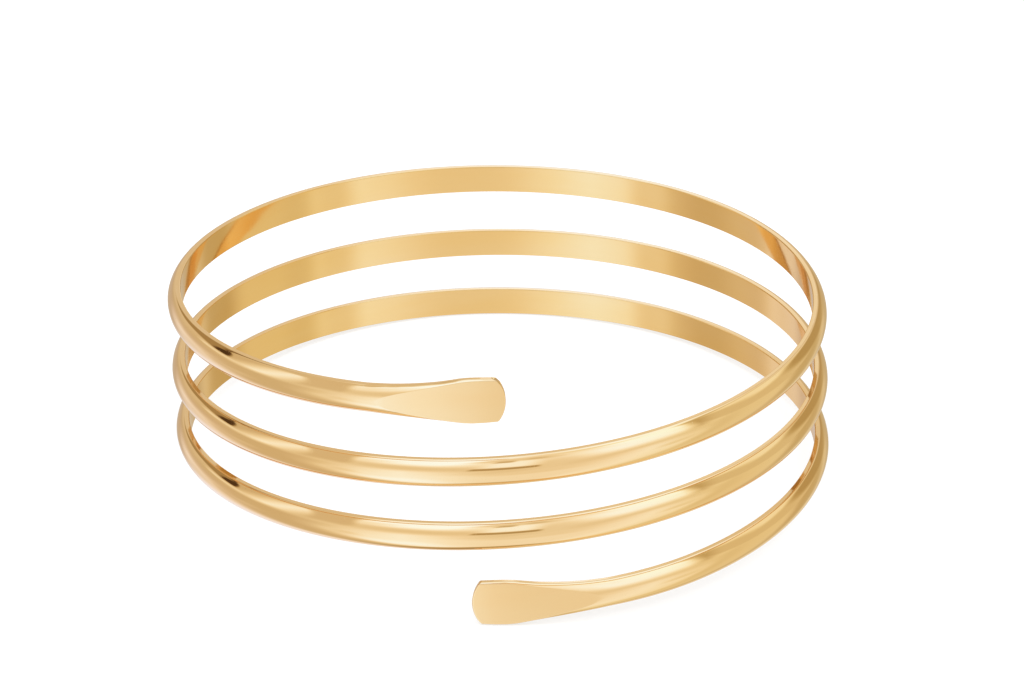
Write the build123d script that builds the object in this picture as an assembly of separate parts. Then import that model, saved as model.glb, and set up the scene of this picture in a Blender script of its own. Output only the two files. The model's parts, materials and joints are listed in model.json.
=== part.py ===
from build123d import *

import os
from math import atan2, cos, pi, sin, tau

# Spiral coil bracelet: one metal band wound a little over three times round, pressed flat at both ends.
# The coil is drawn upright round Z, from its top tip down, and then leans as it rests on a table.
# +X is to the right, +Y to the back and +Z up. The origin is on the table, under the middle of the box
# round the coil. All sizes are in millimetres.

# The band: flat inside, two narrow straight edges, round shoulders, and a low crown outside
inner_radius = 38.35
band_width = 3.45
edge_depth = 0.5
dome_height = 1.15
shoulder_radius = 0.7

# The coil
turns = 3.02
pitch = 9.15
top_tip_angle = -89.2

# The paddle at each end, pressed out of the same band
paddle_length = 16.0
paddle_width = 5.55
paddle_thickness = 0.92
tip_radius = 4.2

half_turn = 0.5
# Metal left on before the inner face and the tips are cut
trim_allowance = 0.5
# Sections 15 degrees apart: much wider steps let the loft twist
sections_per_turn = 24

# The drop from turn to turn is uneven, as in any coil wound by hand.
# Columns: place in turns from the top tip, pitch there as a share of the mean pitch
pitch_table = (
    (0.00, 0.82),
    (0.50, 1.11),
    (1.00, 0.90),
    (1.50, 0.98),
    (2.00, 0.74),
    (2.50, 1.15),
    (2.90, 1.17),
    (2.97, -0.16),
    (3.02, -0.42),
)

# The paddle's outline, the same at both ends.
# Columns: distance from the tip as a share of paddle_length, spread of the width from the plain band's (0)
# to the widest (1)
spread_table = (
    (0.00, 0.92),
    (0.10, 0.98),
    (0.20, 1.00),
    (0.28, 0.94),
    (0.37, 0.77),
    (0.46, 0.60),
    (0.56, 0.44),
    (0.68, 0.27),
    (0.82, 0.12),
    (1.00, 0.00),
)

# Where the pressed face is flat along its length, and where it runs out into the dome's crown.
# Shares of paddle_length, from the tip
press_flat_to = 0.19
press_runs_out_at = 0.91

band_thickness = edge_depth + dome_height
outer_radius = inner_radius + band_thickness
edge_radius = inner_radius + edge_depth
turn_length = tau * inner_radius


def between(table, place):
    """The table's value at a place, in straight lines between its rows."""
    first = table[0]
    if place <= first[0]:
        return first[1]
    for row, following in zip(table, table[1:]):
        if place <= following[0]:
            share = (place - row[0]) / (following[0] - row[0])
            return row[1] + share * (following[1] - row[1])
    return table[-1][1]


def drop(place):
    """How far the band has come down from its top tip at a place, in turns."""
    stops = [0.0]
    stops += [row[0] for row in pitch_table if 0.0 < row[0] < place]
    stops.append(place)
    fall = 0.0
    for start, end in zip(stops, stops[1:]):
        fall += (end - start) * (between(pitch_table, start) + between(pitch_table, end)) / 2
    return pitch * fall


def height(place):
    """Height of the band's centre line, with the middle of the coil at zero."""
    return drop(turns) / 2 - drop(place)


def angle(place):
    """Angle round the axis, in radians. The band goes down clockwise, seen from above."""
    return top_tip_angle * pi / 180 - tau * place


def from_tip(place):
    """Length along the inner face from the nearer tip."""
    return min(place, turns - place) * turn_length


def half_width(place):
    spread = between(spread_table, from_tip(place) / paddle_length)
    return (band_width + spread * (paddle_width - band_width)) / 2


def point(place, radius, rise):
    return Vector(radius * cos(angle(place)), radius * sin(angle(place)), height(place) + rise)


def section(place):
    """The band's cross-section: a deeper inner side, to be cut round, two shoulders and the crown between."""
    half = half_width(place)
    shoulder = half - shoulder_radius
    crown_radius = (shoulder**2 + dome_height**2 - shoulder_radius**2) / (2 * (dome_height - shoulder_radius))
    meeting = atan2(shoulder, crown_radius - dome_height)

    def on_shoulder(side, turned):
        radius = edge_radius + shoulder_radius * cos(turned)
        return point(place, radius, side * (shoulder + shoulder_radius * sin(turned)))

    inner_low = point(place, inner_radius - trim_allowance, -half)
    inner_high = point(place, inner_radius - trim_allowance, half)
    outer_high = point(place, edge_radius, half)
    outer_low = point(place, edge_radius, -half)
    crown = point(place, outer_radius, 0)
    half_way = (meeting + pi / 2) / 2
    sides = [
        Edge.make_line(inner_low, inner_high),
        Edge.make_line(inner_high, outer_high),
        Edge.make_three_point_arc(outer_high, on_shoulder(1, half_way), on_shoulder(1, meeting)),
        Edge.make_three_point_arc(on_shoulder(1, meeting), crown, on_shoulder(-1, meeting)),
        Edge.make_three_point_arc(on_shoulder(-1, meeting), on_shoulder(-1, half_way), outer_low),
        Edge.make_line(outer_low, inner_low),
    ]
    return Face(Wire(sides))


def section_places():
    """Even steps along the plain coil, and the rows of the outline in each paddle."""
    paddle_turn = paddle_length / turn_length
    paddle = [row[0] * paddle_turn for row in spread_table[1:]]
    start = -trim_allowance / turn_length
    plain_turns = turns - 2 * paddle_turn
    steps = round(plain_turns * sections_per_turn)
    plain = [paddle_turn + plain_turns * step / steps for step in range(1, steps)]
    top = [start] + paddle
    bottom = [turns - place for place in reversed(top)]
    return top + plain + bottom


def pressed_thickness(distance):
    """Thickness left under the press, from its flat part to where it runs out of the crown."""
    flat_to = press_flat_to * paddle_length
    runs_out = press_runs_out_at * paddle_length
    share = max(distance - flat_to, 0) / (runs_out - flat_to)
    return paddle_thickness + share**2 * (band_thickness - paddle_thickness)


def press_tool(tip, inward):
    """The metal that the press takes off the dome. inward is +1 at the top tip and -1 at the bottom one."""
    reach = press_runs_out_at * paddle_length * 1.1
    clear = outer_radius + 2 * band_thickness

    def at(distance, radius):
        turned = angle(tip + inward * distance / turn_length)
        return (radius * cos(turned), radius * sin(turned))

    steps = 8
    distances = [-trim_allowance * 2 + (reach + trim_allowance * 2) * step / steps for step in range(steps + 1)]
    pressed = [at(distance, inner_radius + pressed_thickness(distance)) for distance in distances]
    middle = distances[steps // 2]
    profile = [
        Edge.make_spline([Vector(*place) for place in pressed]),
        Edge.make_line(pressed[-1], at(distances[-1], clear)),
        Edge.make_three_point_arc(at(distances[-1], clear), at(middle, clear), at(distances[0], clear)),
        Edge.make_line(at(distances[0], clear), pressed[0]),
    ]
    return extrude(Pos(0, 0, height(tip)) * Face(Wire(profile)), amount=paddle_width, both=True)


def tip_tool(tip, inward):
    """The metal outside the round end of a paddle, cut square to the pressed face."""
    end = angle(tip)
    outwards = Vector(cos(end), sin(end), 0)
    along = Vector(sin(end), -cos(end), 0) * inward
    face = Plane(origin=outwards * (inner_radius - 2 * trim_allowance), x_dir=along, z_dir=outwards)
    centre = (0, height(tip + inward * trim_allowance / turn_length) * face.y_dir.Z)
    depth = band_thickness + 4 * trim_allowance
    beyond = 2 * trim_allowance
    shoulder = 0.4 * tip_radius
    blank = Pos(*centre) * Pos((shoulder - beyond) / 2, 0) * Rectangle(shoulder + beyond, 1.6 * tip_radius)
    kept = Pos(*centre) * Pos(tip_radius, 0) * Circle(tip_radius)
    return extrude(face * (blank - kept), amount=depth)


def build_band():
    """The whole band, wound upright."""
    blank = loft([section(place) for place in section_places()])
    hollow = Cylinder(inner_radius, drop(turns) + 4 * paddle_width)
    band = blank - hollow
    for tip, inward in ((0.0, 1), (turns, -1)):
        band = band - press_tool(tip, inward) - tip_tool(tip, inward)
    return band.solid()


def rest(band):
    """Lean the coil as it rests: on its bottom paddle at the front, and on the lowest turn's back."""
    widest = max(spread_table, key=lambda row: row[1])[0] * paddle_length
    front = turns - widest / turn_length
    back = front - half_turn
    rise = (height(back) - half_width(back)) - (height(front) - half_width(front))
    back_slope = rise / (inner_radius + edge_radius)
    side_slope = -pitch * between(pitch_table, back) / (tau * edge_radius)
    table = Plane(origin=(0, 0, 0), x_dir=(1, 0, side_slope), z_dir=(-side_slope, -back_slope, 1))
    leaning = table.to_local_coords(band)
    box = leaning.bounding_box()
    return Pos(-box.center().X, -box.center().Y, -box.min.Z) * leaning


spiral_band = rest(build_band())
os.makedirs("parts", exist_ok=True)
export_step(spiral_band, "parts/spiral_band.step")
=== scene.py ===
import json
import math

import bpy
import numpy as np
from mathutils import Matrix, Vector


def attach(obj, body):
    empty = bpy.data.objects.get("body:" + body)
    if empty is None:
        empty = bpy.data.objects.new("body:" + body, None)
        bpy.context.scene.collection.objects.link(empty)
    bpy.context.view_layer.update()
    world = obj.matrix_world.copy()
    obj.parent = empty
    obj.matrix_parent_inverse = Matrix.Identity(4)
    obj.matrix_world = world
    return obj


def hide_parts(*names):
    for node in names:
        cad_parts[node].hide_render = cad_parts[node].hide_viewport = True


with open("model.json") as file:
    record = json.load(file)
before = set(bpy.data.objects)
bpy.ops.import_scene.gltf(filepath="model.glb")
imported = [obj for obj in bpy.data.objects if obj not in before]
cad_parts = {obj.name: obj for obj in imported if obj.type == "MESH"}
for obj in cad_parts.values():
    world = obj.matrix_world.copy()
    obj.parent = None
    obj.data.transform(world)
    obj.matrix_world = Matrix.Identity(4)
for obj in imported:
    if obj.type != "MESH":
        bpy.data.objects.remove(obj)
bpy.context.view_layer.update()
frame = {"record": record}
mm = 0.001

# The band
# One strip of brass, flat inside and domed outside, plated in pale yellow gold and polished. It is
# wound three times round a mandrel, and each end is pressed flat into a paddle. Nothing is fixed to
# it: the whole bracelet is this one piece of metal.

band_width = 3.45
edge_depth = 0.5
dome_height = 1.15
shoulder_radius = 0.7
band_thickness = edge_depth + dome_height
# The small round corners along the inner face and along the pressed faces
corner_radius = 0.1

turns = 3.02
top_tip_angle = math.radians(-89.2)
pitch = 9.15
# Places in turns from the top tip, and the pitch there as a share of the mean pitch
pitch_places = [0.0, 0.5, 1.0, 1.5, 2.0, 2.5, 2.90, 2.97, 3.02]
pitch_shares = [0.82, 1.11, 0.90, 0.98, 0.74, 1.15, 1.17, -0.16, -0.42]

paddle_length = 16.0
paddle_width = 5.55
paddle_thickness = 0.92
press_flat_to = 0.19 * paddle_length
press_runs_out_at = 0.91 * paddle_length
# Distances from the tip as shares of the paddle's length, and how far the width has spread there, from
# the plain band's (0) to the widest (1)
spread_places = [0.0, 0.10, 0.20, 0.28, 0.37, 0.46, 0.56, 0.68, 0.82, 1.0]
spreads = [0.92, 0.98, 1.0, 0.94, 0.77, 0.60, 0.44, 0.27, 0.12, 0.0]

tip_radius = 4.2
# A tip's corner on the side away from the middle of the coil is rounder than the other
far_corner_radius = 0.9
near_corner_radius = 0.25
# The tip's roundness fades out of the mesh's lines over this length
tip_reach = 8.0

arm_hollow = next(m for m in frame["record"]["mounts"] if m["name"] == "arm_hollow")
inner_radius = arm_hollow["dims"]["r_mm"]
turn_length = math.tau * inner_radius
band_length = turns * turn_length

# Places along the band: close together at the tips, and wider apart between them
tip_zone = 2.0
tip_step = 0.1
plain_step = 0.65
near_tip = np.linspace(tip_step, tip_zone, round(tip_zone / tip_step))
plain_steps = round((band_length - 2 * tip_zone) / plain_step)
plain = np.linspace(tip_zone, band_length - tip_zone, plain_steps + 1)
places = np.concatenate([near_tip[:-1], plain, (band_length - near_tip[:-1])[::-1]])


def drop(turn):
    """How far the band has come down from its top tip, in mm."""
    fine_steps = 6000
    grid = np.linspace(0, turns, fine_steps + 1)
    pitches = pitch * np.interp(grid, pitch_places, pitch_shares)
    fallen = np.concatenate([[0], np.cumsum((pitches[1:] + pitches[:-1]) / 2 * np.diff(grid))])
    return np.interp(turn, grid, fallen)


# Each cross-section is followed round by the direction it faces, so that the crown, the shoulders, the
# pressed flat and the small round corners all keep the same number of points.
# Directions from the straight edge to the crown, and the points from the last of them to the middle
facing = np.radians([90, 85, 79, 73, 67, 61, 55, 49, 44, 38, 32, 26, 20, 15, 10, 5])
flat_shares = np.array([0.97, 0.84, 0.7, 0.55, 0.38, 0.2])
# Points down the straight edge, round its corner, and along the inner face to its middle
side_shares = np.array([0.06, 0.5, 0.94])
inner_corner = np.radians([0, 18, 36, 54, 72, 90])
inner_shares = np.array([0.975, 0.83, 0.66, 0.5, 0.33, 0.17])


def half_section(from_tip, inset):
    """Rise and radius of the upper half of the section, from the crown round to the inner face."""
    spread = np.interp(from_tip / paddle_length, spread_places, spreads)
    half = ((band_width + spread * (paddle_width - band_width)) / 2)[:, None]
    share = np.clip(from_tip - press_flat_to, 0, None) / (press_runs_out_at - press_flat_to)
    left = (paddle_thickness + share**2 * (band_thickness - paddle_thickness))[:, None]
    # The shoulder's centre, and the crown's arc, which meets the shoulder's
    shoulder = half - shoulder_radius
    crown_rise = dome_height - shoulder_radius
    crown_radius = (shoulder**2 + dome_height**2 - shoulder_radius**2) / (2 * crown_rise)
    crown_centre = band_thickness - crown_radius
    meeting = np.arctan2(shoulder, crown_radius - dome_height)

    def outline(turned, depth):
        """The dome's outline where it faces one way, a depth below its surface."""
        on_crown = turned < meeting
        rise = np.where(
            on_crown,
            (crown_radius - depth) * np.sin(turned),
            shoulder + (shoulder_radius - depth) * np.sin(turned),
        )
        radius = np.where(
            on_crown,
            crown_centre + (crown_radius - depth) * np.cos(turned),
            edge_depth + (shoulder_radius - depth) * np.cos(turned),
        )
        return rise, radius

    def at_each_place(values):
        """The same values at every place along the band."""
        return np.tile(values, (len(from_tip), 1))

    # Where the press has cut the dome down, a small round corner joins the flat to the dome
    pressed_centre = left - corner_radius
    pressed = pressed_centre < band_thickness - corner_radius
    crown_cosine = (pressed_centre - crown_centre) / (crown_radius - corner_radius)
    shoulder_cosine = (pressed_centre - edge_depth) / (shoulder_radius - corner_radius)
    crease = np.arccos(np.clip(crown_cosine, -1, 1))
    crease = np.where(crease > meeting, np.arccos(np.clip(shoulder_cosine, -1, 1)), crease)
    crease = np.where(pressed, crease, 0)
    crease_rise, _ = outline(crease, corner_radius)
    crease_rise = np.where(pressed, crease_rise, 0)

    turned = at_each_place(facing)
    rise_out, radius_out = outline(turned, inset)
    on_corner = turned < crease
    corner = corner_radius - inset
    rise_out = np.where(on_corner, crease_rise + corner * np.sin(turned), rise_out)
    radius_out = np.where(on_corner, pressed_centre + corner * np.cos(turned), radius_out)

    flat_rise = rise_out[:, -1:] * np.append(flat_shares, 0.0)
    bowed = crown_centre + np.sqrt((crown_radius - inset) ** 2 - flat_rise**2)
    flat_radius = np.where(pressed, left - inset, bowed)
    side_radius = at_each_place(edge_depth + (corner_radius - edge_depth) * side_shares)
    side_rise = np.repeat(half - inset, len(side_shares), axis=1)
    corner_rise = half - corner_radius + corner * np.cos(inner_corner)
    corner_radii = at_each_place(corner_radius - corner * np.sin(inner_corner))
    face_rise = (half - corner_radius) * np.append(inner_shares, 0.0)
    face_radius = np.full_like(face_rise, inset)
    rise = np.concatenate([flat_rise[:, ::-1], rise_out[:, ::-1], side_rise, corner_rise, face_rise], axis=1)
    radius = np.concatenate(
        [flat_radius[:, ::-1], radius_out[:, ::-1], side_radius, corner_radii, face_radius], axis=1
    )
    return rise, radius + inner_radius


outer_points = 1 + len(flat_shares) + len(facing)
half_points = outer_points + len(side_shares) + len(inner_corner) + len(inner_shares) + 1
ring_points = 2 * half_points - 2


def rings(along, inset):
    """Whole sections at places along the band, in mm: on the upright coil, and on the band laid straight."""
    from_tip = np.minimum(along, band_length - along)
    rise, radius = half_section(from_tip, inset)
    rise = np.concatenate([rise, -rise[:, -2:0:-1]], axis=1)
    radius = np.concatenate([radius, radius[:, -2:0:-1]], axis=1)
    # The tips are round: each line along the band ends on the tip's arc, or on the small arc of its corner
    inwards = np.where(along < band_length / 2, 1.0, -1.0)[:, None]
    aside = np.abs(rise)
    corner_arc = np.where(rise * inwards > 0, far_corner_radius, near_corner_radius)
    corner_middle = aside.max(axis=1, keepdims=True) - corner_arc
    corner_back = tip_radius - np.sqrt((tip_radius - corner_arc) ** 2 - corner_middle**2)
    on_corner = aside > tip_radius * corner_middle / (tip_radius - corner_arc)
    bulge = np.sqrt(np.clip(corner_arc**2 - (aside - corner_middle) ** 2, 0, None))
    arc = np.where(on_corner, corner_back - bulge, tip_radius - np.sqrt(tip_radius**2 - aside**2))
    shift = arc * np.clip(1 - from_tip / tip_reach, 0, 1)[:, None]
    place = along[:, None] + inwards * shift
    turn = place / turn_length
    angle = top_tip_angle - math.tau * turn
    height = drop(turns) / 2 - drop(np.clip(turn, 0, turns))
    wound = np.stack([radius * np.cos(angle), radius * np.sin(angle), height + rise], axis=-1)
    return wound, np.stack([place, rise, radius - inner_radius], axis=-1)


# Three more rings round off the edges of each tip's end face, from that face on.
# Columns: how far back from the tip the ring lies, and how deep inside the outline
end_rings = [(0.0, 0.09), (0.03, 0.05), (0.06, 0.015)]
ring_list = [rings(np.array([back]), inset) for back, inset in end_rings]
ring_list.append(rings(places, 0.0))
ring_list += [rings(np.array([band_length - back]), inset) for back, inset in reversed(end_rings)]
wound_points = np.concatenate([wound for wound, straight in ring_list])
# The same points on the band laid straight: along it, across it, and out from its inner face
straight_points = np.concatenate([straight for wound, straight in ring_list])
ring_count = len(wound_points)

# The coil stands on the table as it rests: leaning on its bottom paddle and the lowest turn's back
axis = Vector(arm_hollow["axis"])
side_slope = axis.x / math.sqrt(1 - axis.x**2)
back_slope = math.sqrt(1 / axis.z**2 - 1 - side_slope**2)
up_row = Vector((-side_slope, -back_slope, 1)).normalized()
right_row = Vector((1, 0, side_slope)).normalized()
back_row = up_row.cross(right_row)
lean = np.array([right_row, back_row, up_row])
points = wound_points @ lean.T * mm + np.array(arm_hollow["pos_m"])

faces = []
for ring in range(ring_count - 1):
    here = ring * ring_points
    ahead = here + ring_points
    for k in range(ring_points):
        following = (k + 1) % ring_points
        faces.append((here + following, ahead + following, ahead + k, here + k))


def close_tip(start, flip):
    """The end face of a tip: triangles between its outer and its inner edge, from one side to the other."""
    rise = straight_points[0, :, 1]
    side = outer_points + 1
    outer = [(-k) % ring_points for k in range(side, 0, -1)] + list(range(side + 1))
    inner = list(range(ring_points - side, side - 1, -1))
    i = j = 0
    made = []
    while i < len(outer) - 1 or j < len(inner) - 1:
        step_outer = j == len(inner) - 1 or (
            i < len(outer) - 1 and rise[outer[i + 1]] <= rise[inner[j + 1]]
        )
        if step_outer:
            triangle = (outer[i], outer[i + 1], inner[j])
            i += 1
        else:
            triangle = (outer[i], inner[j + 1], inner[j])
            j += 1
        # Where the two edges meet, a triangle has no area and is left out
        if len(set(triangle)) == 3:
            made.append(tuple(start + p for p in (triangle[::-1] if flip else triangle)))
    return made


faces += close_tip(0, True)
faces += close_tip((ring_count - 1) * ring_points, False)

mesh = bpy.data.meshes.new("gold_band")
mesh.from_pydata(points.reshape(-1, 3), [], faces)
mesh.shade_smooth()
laid = mesh.attributes.new("laid_straight", "FLOAT_VECTOR", "POINT")
laid.data.foreach_set("vector", straight_points.astype(np.float32).ravel())

# For the bake, the band is cut into short rows that lie under each other, with the two end faces last
rows = 9
row_length = band_length / (rows - 1)
row_start = 0.01
row_share = 0.97
girth_start = 0.04
girth_share = 0.92
end_face_starts = (0.1, 0.3)
end_face_height = 0.2
steps_round = np.linalg.norm(np.diff(straight_points[ring_count // 2], axis=0), axis=1)
girth = np.sum(steps_round) + steps_round[0]
round_shares = np.concatenate([[0], np.cumsum(steps_round), [girth]]) / girth
ring_along = np.clip(straight_points[:, 0, 0], 0, band_length)
flat_layout = []
for number, face in enumerate(faces):
    ring, k = divmod(number, ring_points)
    if ring < ring_count - 1:
        row = min(int(ring_along[ring] / row_length), rows - 2)
        for ahead, further in ((0, 1), (1, 1), (1, 0), (0, 0)):
            sideways = row_start + row_share * (ring_along[ring + ahead] / row_length - row)
            upwards = row + girth_start + girth_share * round_shares[k + further]
            flat_layout.append((sideways, upwards / rows))
    else:
        for point in face:
            _, rise, out = straight_points.reshape(-1, 3)[point]
            sideways = end_face_starts[point >= ring_points] + rise / row_length
            upwards = rows - 1 + end_face_height + out / 10
            flat_layout.append((sideways, upwards / rows))
layout = mesh.uv_layers.new(name="OFBake")
layout.data.foreach_set("uv", np.array(flat_layout, dtype=np.float32).ravel())
band = bpy.data.objects.new("gold_band", mesh)
bpy.context.scene.collection.objects.link(band)


class Value:
    """A shader value, so that sums on it are written as sums and make their own Math nodes."""

    def __init__(self, tree, socket=None):
        self.tree = tree
        self.socket = socket

    def node(self, kind, settings=None, values=None, output=0):
        """One node: its settings first, then numbers or other values for its sockets."""
        made = self.tree.nodes.new(kind)
        for name, setting in (settings or {}).items():
            if name == "stops":
                ramp = made.color_ramp
                while len(ramp.elements) < len(setting):
                    ramp.elements.new(1.0)
                for element, (place, colour) in zip(ramp.elements, setting):
                    element.position = place
                    element.color = (*colour, 1)
            else:
                setattr(made, name, setting)
        for name, value in (values or {}).items():
            if isinstance(value, Value):
                self.tree.links.new(value.socket, made.inputs[name])
            else:
                made.inputs[name].default_value = value
        return Value(self.tree, made.outputs[output] if made.outputs else None)

    def maths(self, operation, first, second=0.0, third=0.0):
        return self.node("ShaderNodeMath", {"operation": operation}, {0: first, 1: second, 2: third})

    def __add__(self, other):
        return self.maths("ADD", self, other)

    def __radd__(self, other):
        return self.maths("ADD", other, self)

    def __sub__(self, other):
        return self.maths("SUBTRACT", self, other)

    def __rsub__(self, other):
        return self.maths("SUBTRACT", other, self)

    def __mul__(self, other):
        return self.maths("MULTIPLY", self, other)

    def __rmul__(self, other):
        return self.maths("MULTIPLY", other, self)

    def __truediv__(self, other):
        return self.maths("DIVIDE", self, other)

    def __rtruediv__(self, other):
        return self.maths("DIVIDE", other, self)

    def __abs__(self):
        return self.maths("ABSOLUTE", self)

    def rise(self, start, end):
        """0 below start, 1 above end, and a smooth step between them. Falls where start is above end."""
        return self.node(
            "ShaderNodeMapRange",
            {"interpolation_type": "SMOOTHSTEP"},
            {"Value": self, "From Min": start, "From Max": end},
        )

    def split(self):
        """The three numbers of a place or a direction."""
        parts = self.node("ShaderNodeSeparateXYZ", values={"Vector": self}).socket.node.outputs
        return [Value(self.tree, part) for part in parts]

    def scaled(self, by):
        """A place or a colour, times a number each way."""
        return self.node("ShaderNodeVectorMath", {"operation": "MULTIPLY"}, {0: self, 1: by})

    def noise(self, detail=2.0):
        """Cloudy noise at a place, from 0 to 1."""
        return self.node("ShaderNodeTexNoise", values={"Vector": self, "Scale": 1.0, "Detail": detail})

    def coloured(self, first, second):
        """A colour between two, by this share."""
        first, second = [c if isinstance(c, Value) else (*c, 1) for c in (first, second)]
        return self.node("ShaderNodeMix", {"data_type": "RGBA"}, {0: self, 6: first, 7: second}, output=2)


gold = bpy.data.materials.new("polished_gold_plate")
gold.use_nodes = True
shader = gold.node_tree.nodes["Principled BSDF"]
surface = Value(gold.node_tree)
laid_straight = surface.node("ShaderNodeAttribute", {"attribute_name": "laid_straight"}, output="Vector")
along, across, out = laid_straight.split()

# The plate is a little paler along the rubbed edges. Inside the coil its colour is painted deeper: a painted
# reflection that stands for the gold of the other turns mirrored in the inner face
inside = out.rise(0.2, 0.02)
clouds = laid_straight.scaled((0.06, 0.25, 0.25)).noise(3.0)
rubbed = abs(out - edge_depth).rise(0.25, 0.0) * laid_straight.scaled((0.4, 0.4, 0.4)).noise().rise(0.4, 0.7)
outer_gold = clouds.rise(0.3, 0.7).coloured((0.93, 0.65, 0.318), (0.932, 0.67, 0.342))
# Painted reflection: the deeper, browner gold inside the coil stands for gold mirrored in gold between the
# turns
inner_gold_painted_reflection = clouds.rise(0.3, 0.7).coloured((0.895, 0.59, 0.233), (0.9, 0.61, 0.262))
rubbed_gold = (0.945, 0.71, 0.41)
plate = (rubbed * 0.5).coloured(inside.coloured(outer_gold, inner_gold_painted_reflection), rubbed_gold)

# Polishing lines run along the band, with a few fine scratches across them from handling
lines = laid_straight.scaled((0.15, 9.0, 9.0)).noise(3.0)
scratched = surface.node(
    "ShaderNodeCombineXYZ", values={0: across * 2.0 + along * 9.0, 1: along * 0.4 - across * 0.7, 2: out}
)
scratches = scratched.noise(0.0).rise(0.76, 0.8)
dents = laid_straight.scaled((0.12, 0.35, 0.35)).noise(1.0)
mirror_roughness = 0.032
roughness = (
    mirror_roughness
    + clouds.rise(0.35, 0.75) * 0.03
    + lines.rise(0.5, 0.8) * 0.02
    + inside * 0.035
    + rubbed * 0.05
    + scratches * 0.06
)
# Heights and depths, in mm
dent_height = 0.012
line_height = 0.00025
scratch_depth = 0.0005
height = dents * dent_height + lines * line_height - scratches * scratch_depth
bump = surface.node("ShaderNodeBump", values={"Height": height, "Distance": mm, "Strength": 1.0})
for socket, value in (("Base Color", plate), ("Roughness", roughness), ("Normal", bump)):
    gold.node_tree.links.new(value.socket, shader.inputs[socket])
shader.inputs["Metallic"].default_value = 1.0
mesh.materials.append(gold)
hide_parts("spiral_band")
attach(band, "root")

# The floor
# A plain pale sweep of matt board, wider than the picture. It is lit through from below as well, so
# that the band has hardly any shadow on it.

floor_reach = 3.0
floor_corners = [(x * floor_reach, y * floor_reach, 0) for x, y in ((-1, -1), (1, -1), (1, 1), (-1, 1))]
floor_mesh = bpy.data.meshes.new("floor")
floor_mesh.from_pydata(floor_corners, [], [(0, 1, 2, 3)])
floor = bpy.data.objects.new("floor", floor_mesh)
bpy.context.scene.collection.objects.link(floor)
pale = bpy.data.materials.new("pale_floor")
pale.use_nodes = True
paint = pale.node_tree.nodes["Principled BSDF"]
paint.inputs["Base Color"].default_value = (0.3, 0.3, 0.3, 1)
paint.inputs["Roughness"].default_value = 0.9
paint.inputs["Emission Color"].default_value = (1, 1, 1, 1)
paint.inputs["Emission Strength"].default_value = 0.67
floor_mesh.materials.append(pale)

# The room round the table
# White cloth and boards hang round a product table, with two softboxes above it, round reflectors at its
# sides, and the camera between them. Only the polished metal shows the room: the floor and the
# picture's background are lit evenly.

world = bpy.data.worlds.new("studio")
bpy.context.scene.world = world
world.use_nodes = True
tree = world.node_tree
tree.nodes.clear()
studio = Value(tree)
direction = studio.node("ShaderNodeTexCoord", output="Generated")
rightwards, deep, high = direction.split()
# Degrees round from the front, where the camera is, and degrees up from the horizon
bearing = studio.maths("ARCTAN2", rightwards, deep * -1.0) * (180 / math.pi)
climb = studio.maths("ARCSINE", high) * (180 / math.pi)


def round_from(bearing_at):
    """Degrees round from a bearing, to the right or the left."""
    return studio.maths("WRAP", bearing - bearing_at, 180.0, -180.0)


def sheet(bearing_at, climb_at, half_width, half_height, soft_width, soft_height):
    """Where an upright sheet hangs: 1 on it, 0 off it, in degrees."""
    aside = abs(round_from(bearing_at))
    above = abs(climb - climb_at)
    return aside.rise(half_width + soft_width, half_width - soft_width) * above.rise(
        half_height + soft_height, half_height - soft_height
    )


def oval(bearing_at, climb_at, half_width, half_height):
    """Distance from the middle of an oval, 1 on its edge."""
    aside = round_from(bearing_at) / half_width
    above = (climb - climb_at) / half_height
    return studio.maths("SQRT", aside * aside + above * above)


def arch(ring, thickness, soft, foot):
    """An arch along the edge of an oval, down to its foot."""
    soft_foot = 8.0
    on_edge = abs(ring - 1.0).rise(thickness + soft, thickness - soft)
    return on_edge * climb.rise(foot - soft_foot, foot + soft_foot)


def lit(level, brightness, shape):
    """The level of light, taken to a brightness where a shape is."""
    return level + (brightness - level) * shape


# Columns of both tables: brightness, the bearing and climb of the sheet's middle, half its width and half
# its height, and how soft its sides and its top and foot are, all but the first in degrees
room_sheets = [
    # Walls and table, all the way round
    (0.81, -34, 13, 50, 28, 14, 12),
    (0.83, 46, 21, 31, 27, 9, 13),
    (0.60, -91, -51, 27, 54, 18, 7),
    (0.79, 95, -30, 23, 42, 9, 8),
    (0.74, 79, -18, 6, 26, 6, 10),
    (0.60, 128, -50, 15, 58, 9, 8),
    (1.27, -35, -48, 15, 57, 22, 13),
    (1.14, 49, -49, 8, 56, 16, 10),
    (0.89, 12, -15, 16, 12, 12, 5),
    (1.37, -42, -54, 14, 12, 10, 10),
    (0.53, 126, -17, 11, 17, 7, 8),
    (0.88, 62, -16, 7, 7, 5, 5),
    (0.90, -58, -24, 6, 8, 5, 5),
    (0.68, -105, -27, 10, 6, 8, 4),
    (0.84, -134, -27, 8, 8, 6, 5),
    (0.48, -160, -78, 62, 8, 12, 6),
    (0.80, 168, -43, 23, 46, 14, 11),
    # The two softboxes, the ceiling, and the gap between the boxes
    (1.14, -46, 62, 35, 22, 12, 16),
    (1.43, -97, 68, 73, 13, 10, 8),
    (1.47, -43, 57, 15, 12, 10, 12),
    (1.34, 53, 45, 25, 19, 15, 15),
    (1.39, 114, 60, 62, 13, 8, 7),
    (0.95, 0, 85, 180, 7, 10, 4.5),
    (1.42, -115, 75, 55, 6, 15, 5),
    (0.85, -3, 70, 26, 10, 9, 6),
    (1.25, -2, 43, 10, 17, 6, 6),
    # The camera between them, and its arm
    (0.40, -2, 18, 12, 6, 1.5, 2),
    (0.57, -8, 59, 5, 5, 2.5, 2.5),
    (0.68, 8, 68, 6, 6, 4.5, 4.5),
]
# Where nothing hangs, the room is this bright
level = 1.01
for brightness, *place in room_sheets:
    level = lit(level, brightness, sheet(*place))

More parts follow.
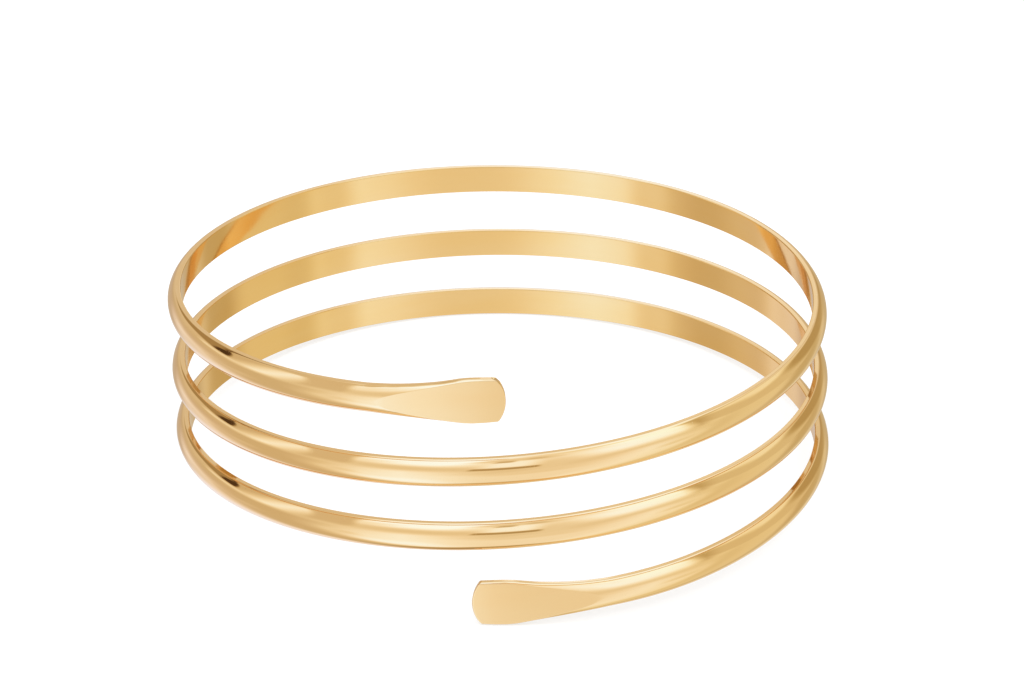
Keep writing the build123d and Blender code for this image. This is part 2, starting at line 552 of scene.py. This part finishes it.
# The round reflector at the left, and the dark doorway behind it with its rim
level = lit(level, 0.60, oval(-119, 22, 47, 36).rise(1.23, 0.77))
level = lit(level, 1.20, arch(oval(-132, 20, 41, 36), 0.25, 0.29, 6.0))
level = lit(level, 0.66, oval(-150, 12, 29, 10).rise(1.41, 0.59))
level = lit(level, 0.65, arch(oval(-117, 14, 51, 40), 0.17, 0.05, 14.0))
doorway = oval(-150, 13, 39, 20)
in_doorway = doorway.rise(1.05, 0.97)
level = lit(level, 0.30, in_doorway * climb.rise(13.0, 16.0))
level = lit(level, 0.04, arch(doorway, 0.07, 0.07, 20.0) * in_doorway)
doorpost = doorway.rise(0.7, 0.82) * in_doorway * climb.rise(13.5, 16.0) * bearing.rise(-127, -123)
level = lit(level, 0.04, doorpost)
level = lit(level, 0.92, sheet(-113, 9, 12, 3, 4, 1.5))

# The round reflectors at the right, one inside another
level = lit(level, 0.68, oval(116, 30, 42, 33).rise(1.08, 0.92))
level = lit(level, 1.00, sheet(134, 42, 33, 15, 8, 5))
level = lit(level, 0.42, arch(oval(117, 17, 46, 42), 0.04, 0.15, 17.0))
level = lit(level, 0.40, oval(143, 16, 26, 19).rise(1.25, 0.75))
level = lit(level, 0.90, sheet(163, 35, 6, 6, 4, 5))
level = lit(level, 0.70, sheet(150, 54, 5, 3, 3, 2))

# Behind, the far wall is dim low down and pale above
back_sheets = [
    (0.52, 180, -14, 36, 19, 9, 8),
    (0.68, 180, 22, 13, 14, 4, 5),
    (1.24, 177.5, 15, 3.5, 8.5, 2.5, 4),
    (1.32, 180, 52, 26, 6, 7, 4),
]
for brightness, *place in back_sheets:
    level = lit(level, brightness, sheet(*place))
# Straight under the band it is dark
level = lit(level, 0.36, climb.rise(-73.0, -83.0))

# Dim places are brown and the lamps are cool, as a warm room with daylight lamps gives them.
# Columns: level, and its colour
tints = [
    (0.0, (0.03, 0.015, 0.005)),
    (0.08, (0.135, 0.079, 0.042)),
    (0.34, (0.45, 0.34, 0.19)),
    (0.5, (0.588, 0.495, 0.342)),
    (0.64, (0.72, 0.642, 0.53)),
    (0.79, (0.837, 0.792, 0.706)),
    (0.95, (0.943, 0.947, 0.964)),
    (1.12, (1.02, 1.124, 1.336)),
    (1.29, (1.052, 1.289, 1.83)),
    (1.43, (1.06, 1.426, 2.3)),
]
# A ramp runs from 0 to 1, so the levels are divided by the brightest, and the colours by the strength
brightest = 1.5
strength = 2.5
tinted = studio.node(
    "ShaderNodeValToRGB",
    {"stops": [(place / brightest, tuple(c / strength for c in colour)) for place, colour in tints]},
    {"Fac": level / brightest},
)
# The table and walls at the right are yellower, and at the left pinker
right_side = bearing.rise(40.0, 80.0) * bearing.rise(170.0, 140.0)
left_side = bearing.rise(-90.0, -125.0) * climb.rise(5.0, -10.0)
tinted = right_side.coloured(tinted, tinted.scaled((1.0, 1.0, 0.89)))
tinted = left_side.coloured(tinted, tinted.scaled((1.0, 1.0, 1.15)))
surroundings = studio.node("ShaderNodeBackground", values={"Color": tinted, "Strength": strength})
backdrop = studio.node("ShaderNodeBackground", values={"Color": (1, 1, 1, 1), "Strength": 1.0})
mirrored = studio.node("ShaderNodeLightPath", output="Is Glossy Ray")
mixed = studio.node("ShaderNodeMixShader", values={0: mirrored, 1: backdrop, 2: surroundings})
studio.node("ShaderNodeOutputWorld", values={"Surface": mixed})
bpy.context.scene.view_settings.view_transform = "Standard"

# The lamp
# One large softbox hangs above the front of the table and gives the floor its soft light. The metal
# doesn't mirror it or the floor, because it mirrors the room round them.

softbox = bpy.data.lights.new("softbox", "AREA")
softbox.shape = "RECTANGLE"
softbox.size = 1.2
softbox.size_y = 0.9
softbox.energy = 9
lamp = bpy.data.objects.new("softbox", softbox)
bpy.context.scene.collection.objects.link(lamp)
lamp.location = (0, -0.3, 0.9)
lamp.rotation_euler = Vector(lamp.location).to_track_quat("Z", "Y").to_euler()
lamp.visible_glossy = False
floor.visible_glossy = False

# The camera
# A long lens in front of the coil looks down on it at the photograph's angle, from a little to the
# left, and is turned by half a degree.

picture_width = 1024
focal_length_in_pixels = 5075.2
camera_distance = 0.620
azimuth, elevation, roll = [math.radians(a) for a in (-1.18, 28.15, 0.47)]
target = Vector((1.42, 0, 16.13)) * mm
camera = bpy.data.cameras.new("camera")
camera.sensor_width = 36.0
camera.lens = focal_length_in_pixels / picture_width * camera.sensor_width
view = bpy.data.objects.new("camera", camera)
bpy.context.scene.collection.objects.link(view)
backwards = Vector(
    (
        math.sin(azimuth) * math.cos(elevation),
        -math.cos(azimuth) * math.cos(elevation),
        math.sin(elevation),
    )
)
right = Vector((math.cos(azimuth), math.sin(azimuth), 0))
up = backwards.cross(right)
turned_right = right * math.cos(roll) + up * math.sin(roll)
turned_up = up * math.cos(roll) - right * math.sin(roll)
turned = Matrix((turned_right, turned_up, backwards)).transposed().to_4x4()
view.matrix_world = Matrix.Translation(target + backwards * camera_distance) @ turned
bpy.context.scene.camera = view
